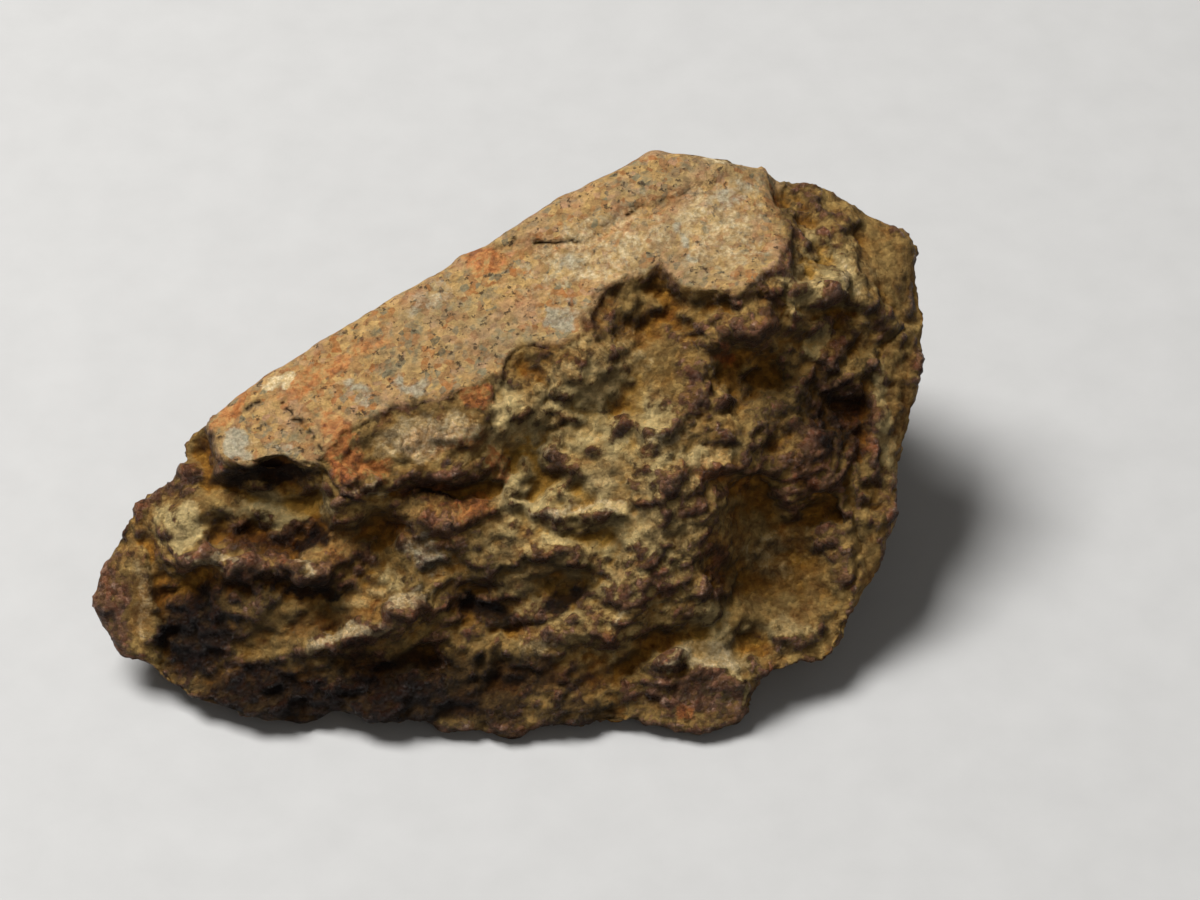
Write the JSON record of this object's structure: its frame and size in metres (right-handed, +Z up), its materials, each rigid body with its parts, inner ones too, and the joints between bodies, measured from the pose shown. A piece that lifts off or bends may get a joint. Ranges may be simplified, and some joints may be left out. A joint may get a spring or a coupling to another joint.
{
  "type": "chondrite meteorite",
  "caption": "Weathered wedge-shaped meteorite stone with a smooth rusty top face, a broken rim, a rough pitted front and a small flat spot to rest on.",
  "frame": {"origin": "on the floor, below the middle of the stone's bounding box", "axes": "+X along the stone to its thick right end, +Y away from the picture's camera, +Z up from the flat spot it rests on"},
  "size_m": [0.042, 0.0264, 0.0204],
  "materials": {
    "chondrite": "rough and dusty, rusty orange-brown, with dark varnish that shines softly on the high points"
  },
  "bodies": {
    "root": {"chondrite_stone": "chondrite"}
  },
  "joints": []
}
